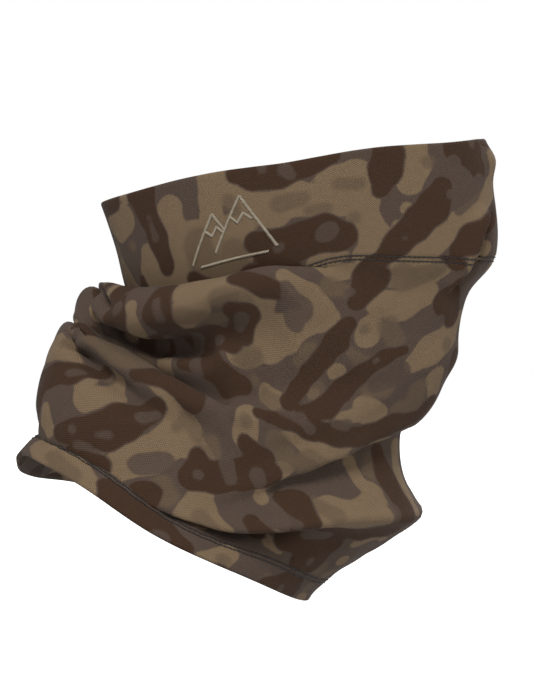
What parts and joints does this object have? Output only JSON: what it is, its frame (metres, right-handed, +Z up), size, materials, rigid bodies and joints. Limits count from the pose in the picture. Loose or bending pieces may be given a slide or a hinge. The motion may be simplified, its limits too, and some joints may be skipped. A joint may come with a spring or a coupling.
{
  "type": "neck gaiter",
  "caption": "Sewn tube of printed knit fleece, worn over the nose and bunched on the neck, with turned hems, twin stitching, a back seam and an embroidered motif.",
  "frame": {"origin": "under the middle of the gaiter's bounding box, at the height of the lowest point of the bottom hem at the front", "axes": "+X is where the wearer's nose points, +Y is the wearer's left, +Z is up along the neck"},
  "size_m": [0.2456, 0.152, 0.2361],
  "materials": {
    "camo_knit": "brushed matte knit fleece, printed in dark brown, taupe and tan",
    "dark_thread": "near-black polyester sewing thread",
    "beige_thread": "beige embroidery thread with a soft sheen",
    "label_tape": "blank off-white satin tape"
  },
  "bodies": {
    "root": {"fabric_tube": "camo_knit", "top_hem_facing": "camo_knit", "bottom_hem_facing": "camo_knit", "top_needle_thread_upper": "dark_thread", "top_needle_thread_lower": "dark_thread", "top_looper_thread": "dark_thread", "bottom_needle_thread_upper": "dark_thread", "bottom_needle_thread_lower": "dark_thread", "bottom_looper_thread": "dark_thread", "back_seam_thread": "dark_thread", "emblem_embroidery": "beige_thread", "care_label": "label_tape"}
  },
  "joints": []
}
